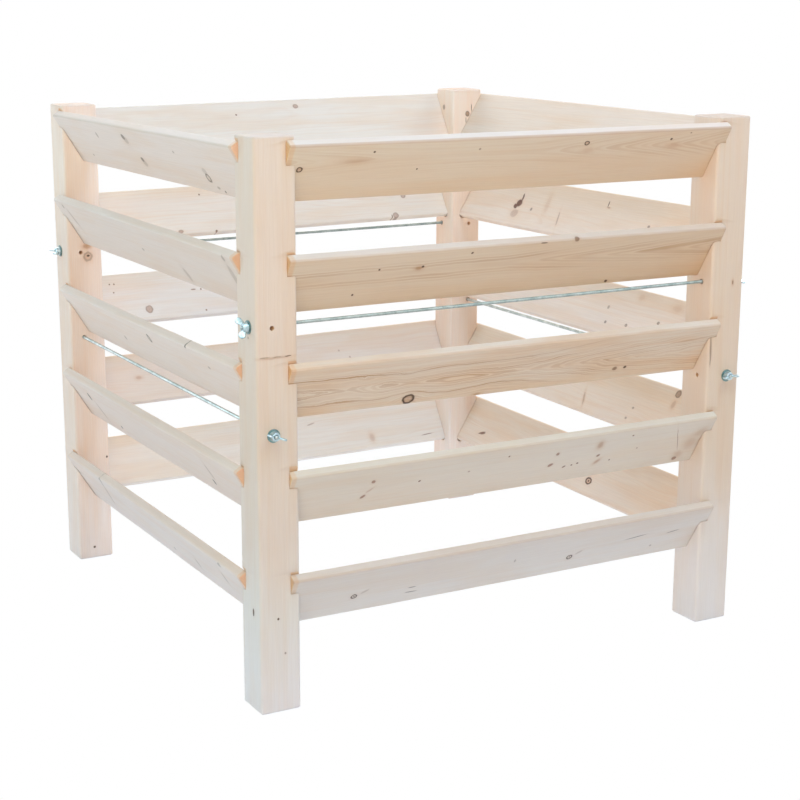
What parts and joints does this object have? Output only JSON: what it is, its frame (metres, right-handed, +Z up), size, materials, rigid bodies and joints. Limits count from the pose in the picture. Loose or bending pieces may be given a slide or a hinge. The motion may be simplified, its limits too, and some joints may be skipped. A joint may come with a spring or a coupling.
{
  "type": "compost bin",
  "caption": "Square open-topped garden compost bin: timber corner posts with slanted louvre slats slotted between them, tied by threaded rods with wing nuts.",
  "frame": {"origin": "on the ground, at the middle of the square on which the posts stand", "axes": "+Z up, +X to the right along the front side, +Y from the front side to the back side"},
  "size_m": [0.9072, 0.9072, 0.847],
  "materials": {
    "post_wood": "planed raw spruce",
    "slat_wood": "planed raw spruce",
    "rod_zinc": "zinc plated",
    "washer_zinc": "zinc plated",
    "nut_zinc": "zinc plated"
  },
  "bodies": {
    "frame": {"post_front_left": "post_wood", "post_front_right": "post_wood", "post_back_left": "post_wood", "post_back_right": "post_wood", "rod_front": "rod_zinc", "rod_back": "rod_zinc", "rod_left": "rod_zinc", "rod_right": "rod_zinc"},
    "front_slat_1": {"front_slat_1": "slat_wood"},
    "front_slat_2": {"front_slat_2": "slat_wood"},
    "front_slat_3": {"front_slat_3": "slat_wood"},
    "front_slat_4": {"front_slat_4": "slat_wood"},
    "front_slat_5": {"front_slat_5": "slat_wood"},
    "back_slat_1": {"back_slat_1": "slat_wood"},
    "back_slat_2": {"back_slat_2": "slat_wood"},
    "back_slat_3": {"back_slat_3": "slat_wood"},
    "back_slat_4": {"back_slat_4": "slat_wood"},
    "back_slat_5": {"back_slat_5": "slat_wood"},
    "left_slat_1": {"left_slat_1": "slat_wood"},
    "left_slat_2": {"left_slat_2": "slat_wood"},
    "left_slat_3": {"left_slat_3": "slat_wood"},
    "left_slat_4": {"left_slat_4": "slat_wood"},
    "left_slat_5": {"left_slat_5": "slat_wood"},
    "right_slat_1": {"right_slat_1": "slat_wood"},
    "right_slat_2": {"right_slat_2": "slat_wood"},
    "right_slat_3": {"right_slat_3": "slat_wood"},
    "right_slat_4": {"right_slat_4": "slat_wood"},
    "right_slat_5": {"right_slat_5": "slat_wood"},
    "washer_front_rod_left": {"washer_front_rod_left": "washer_zinc"},
    "wing_nut_front_rod_left": {"wing_nut_front_rod_left": "nut_zinc"},
    "washer_front_rod_right": {"washer_front_rod_right": "washer_zinc"},
    "wing_nut_front_rod_right": {"wing_nut_front_rod_right": "nut_zinc"},
    "washer_back_rod_left": {"washer_back_rod_left": "washer_zinc"},
    "wing_nut_back_rod_left": {"wing_nut_back_rod_left": "nut_zinc"},
    "washer_back_rod_right": {"washer_back_rod_right": "washer_zinc"},
    "wing_nut_back_rod_right": {"wing_nut_back_rod_right": "nut_zinc"},
    "washer_left_rod_front": {"washer_left_rod_front": "washer_zinc"},
    "wing_nut_left_rod_front": {"wing_nut_left_rod_front": "nut_zinc"},
    "washer_left_rod_back": {"washer_left_rod_back": "washer_zinc"},
    "wing_nut_left_rod_back": {"wing_nut_left_rod_back": "nut_zinc"},
    "washer_right_rod_front": {"washer_right_rod_front": "washer_zinc"},
    "wing_nut_right_rod_front": {"wing_nut_right_rod_front": "nut_zinc"},
    "washer_right_rod_back": {"washer_right_rod_back": "washer_zinc"},
    "wing_nut_right_rod_back": {"wing_nut_right_rod_back": "nut_zinc"}
  },
  "joints": [
    {"name": "front_slat_1_slide", "type": "slide", "parent": "frame", "child": "front_slat_1", "axis": [0, -0.5225, 0.8526], "range_m": [0, 0.096]},
    {"name": "front_slat_2_slide", "type": "slide", "parent": "frame", "child": "front_slat_2", "axis": [0, -0.5225, 0.8526], "range_m": [0, 0.096]},
    {"name": "front_slat_3_slide", "type": "slide", "parent": "frame", "child": "front_slat_3", "axis": [0, -0.5225, 0.8526], "range_m": [0, 0.096]},
    {"name": "front_slat_4_slide", "type": "slide", "parent": "frame", "child": "front_slat_4", "axis": [0, -0.5225, 0.8526], "range_m": [0, 0.096]},
    {"name": "front_slat_5_slide", "type": "slide", "parent": "frame", "child": "front_slat_5", "axis": [0, -0.5225, 0.8526], "range_m": [0, 0.096]},
    {"name": "back_slat_1_slide", "type": "slide", "parent": "frame", "child": "back_slat_1", "axis": [0, 0.5225, 0.8526], "range_m": [0, 0.096]},
    {"name": "back_slat_2_slide", "type": "slide", "parent": "frame", "child": "back_slat_2", "axis": [0, 0.5225, 0.8526], "range_m": [0, 0.096]},
    {"name": "back_slat_3_slide", "type": "slide", "parent": "frame", "child": "back_slat_3", "axis": [0, 0.5225, 0.8526], "range_m": [0, 0.096]},
    {"name": "back_slat_4_slide", "type": "slide", "parent": "frame", "child": "back_slat_4", "axis": [0, 0.5225, 0.8526], "range_m": [0, 0.096]},
    {"name": "back_slat_5_slide", "type": "slide", "parent": "frame", "child": "back_slat_5", "axis": [0, 0.5225, 0.8526], "range_m": [0, 0.096]},
    {"name": "left_slat_1_slide", "type": "slide", "parent": "frame", "child": "left_slat_1", "axis": [-0.5225, 0, 0.8526], "range_m": [0, 0.096]},
    {"name": "left_slat_2_slide", "type": "slide", "parent": "frame", "child": "left_slat_2", "axis": [-0.5225, 0, 0.8526], "range_m": [0, 0.096]},
    {"name": "left_slat_3_slide", "type": "slide", "parent": "frame", "child": "left_slat_3", "axis": [-0.5225, 0, 0.8526], "range_m": [0, 0.096]},
    {"name": "left_slat_4_slide", "type": "slide", "parent": "frame", "child": "left_slat_4", "axis": [-0.5225, 0, 0.8526], "range_m": [0, 0.096]},
    {"name": "left_slat_5_slide", "type": "slide", "parent": "frame", "child": "left_slat_5", "axis": [-0.5225, 0, 0.8526], "range_m": [0, 0.096]},
    {"name": "right_slat_1_slide", "type": "slide", "parent": "frame", "child": "right_slat_1", "axis": [0.5225, 0, 0.8526], "range_m": [0, 0.096]},
    {"name": "right_slat_2_slide", "type": "slide", "parent": "frame", "child": "right_slat_2", "axis": [0.5225, 0, 0.8526], "range_m": [0, 0.096]},
    {"name": "right_slat_3_slide", "type": "slide", "parent": "frame", "child": "right_slat_3", "axis": [0.5225, 0, 0.8526], "range_m": [0, 0.096]},
    {"name": "right_slat_4_slide", "type": "slide", "parent": "frame", "child": "right_slat_4", "axis": [0.5225, 0, 0.8526], "range_m": [0, 0.096]},
    {"name": "right_slat_5_slide", "type": "slide", "parent": "frame", "child": "right_slat_5", "axis": [0.5225, 0, 0.8526], "range_m": [0, 0.096]},
    {"name": "front_rod_left_nut_travel", "type": "slide", "parent": "frame", "child": "washer_front_rod_left", "axis": [-1, 0, 0], "range_m": [0, 0.0091]},
    {"name": "front_rod_left_nut_turn", "type": "hinge", "parent": "washer_front_rod_left", "child": "wing_nut_front_rod_left", "pos_m": [-0.4376, -0.411, 0.58], "axis": [-1, 0, 0], "range_deg": [0, 3240]},
    {"name": "front_rod_right_nut_travel", "type": "slide", "parent": "frame", "child": "washer_front_rod_right", "axis": [1, 0, 0], "range_m": [0, 0.0091]},
    {"name": "front_rod_right_nut_turn", "type": "hinge", "parent": "washer_front_rod_right", "child": "wing_nut_front_rod_right", "pos_m": [0.4376, -0.411, 0.58], "axis": [1, 0, 0], "range_deg": [0, 3240]},
    {"name": "back_rod_left_nut_travel", "type": "slide", "parent": "frame", "child": "washer_back_rod_left", "axis": [-1, 0, 0], "range_m": [0, 0.0091]},
    {"name": "back_rod_left_nut_turn", "type": "hinge", "parent": "washer_back_rod_left", "child": "wing_nut_back_rod_left", "pos_m": [-0.4376, 0.411, 0.58], "axis": [-1, 0, 0], "range_deg": [0, 3240]},
    {"name": "back_rod_right_nut_travel", "type": "slide", "parent": "frame", "child": "washer_back_rod_right", "axis": [1, 0, 0], "range_m": [0, 0.0091]},
    {"name": "back_rod_right_nut_turn", "type": "hinge", "parent": "washer_back_rod_right", "child": "wing_nut_back_rod_right", "pos_m": [0.4376, 0.411, 0.58], "axis": [1, 0, 0], "range_deg": [0, 3240]},
    {"name": "left_rod_front_nut_travel", "type": "slide", "parent": "frame", "child": "washer_left_rod_front", "axis": [0, -1, 0], "range_m": [0, 0.0091]},
    {"name": "left_rod_front_nut_turn", "type": "hinge", "parent": "washer_left_rod_front", "child": "wing_nut_left_rod_front", "pos_m": [-0.411, -0.4376, 0.4245], "axis": [0, -1, 0], "range_deg": [0, 3240]},
    {"name": "left_rod_back_nut_travel", "type": "slide", "parent": "frame", "child": "washer_left_rod_back", "axis": [0, 1, 0], "range_m": [0, 0.0091]},
    {"name": "left_rod_back_nut_turn", "type": "hinge", "parent": "washer_left_rod_back", "child": "wing_nut_left_rod_back", "pos_m": [-0.411, 0.4376, 0.4245], "axis": [0, 1, 0], "range_deg": [0, 3240]},
    {"name": "right_rod_front_nut_travel", "type": "slide", "parent": "frame", "child": "washer_right_rod_front", "axis": [0, -1, 0], "range_m": [0, 0.0091]},
    {"name": "right_rod_front_nut_turn", "type": "hinge", "parent": "washer_right_rod_front", "child": "wing_nut_right_rod_front", "pos_m": [0.411, -0.4376, 0.4245], "axis": [0, -1, 0], "range_deg": [0, 3240]},
    {"name": "right_rod_back_nut_travel", "type": "slide", "parent": "frame", "child": "washer_right_rod_back", "axis": [0, 1, 0], "range_m": [0, 0.0091]},
    {"name": "right_rod_back_nut_turn", "type": "hinge", "parent": "washer_right_rod_back", "child": "wing_nut_right_rod_back", "pos_m": [0.411, 0.4376, 0.4245], "axis": [0, 1, 0], "range_deg": [0, 3240]}
  ],
  "couplings": [
    {"joint": "front_rod_left_nut_travel", "follows": "front_rod_left_nut_turn", "m_per_rad": 0.00015915},
    {"joint": "front_rod_right_nut_travel", "follows": "front_rod_right_nut_turn", "m_per_rad": 0.00015915},
    {"joint": "back_rod_left_nut_travel", "follows": "back_rod_left_nut_turn", "m_per_rad": 0.00015915},
    {"joint": "back_rod_right_nut_travel", "follows": "back_rod_right_nut_turn", "m_per_rad": 0.00015915},
    {"joint": "left_rod_front_nut_travel", "follows": "left_rod_front_nut_turn", "m_per_rad": 0.00015915},
    {"joint": "left_rod_back_nut_travel", "follows": "left_rod_back_nut_turn", "m_per_rad": 0.00015915},
    {"joint": "right_rod_front_nut_travel", "follows": "right_rod_front_nut_turn", "m_per_rad": 0.00015915},
    {"joint": "right_rod_back_nut_travel", "follows": "right_rod_back_nut_turn", "m_per_rad": 0.00015915}
  ]
}
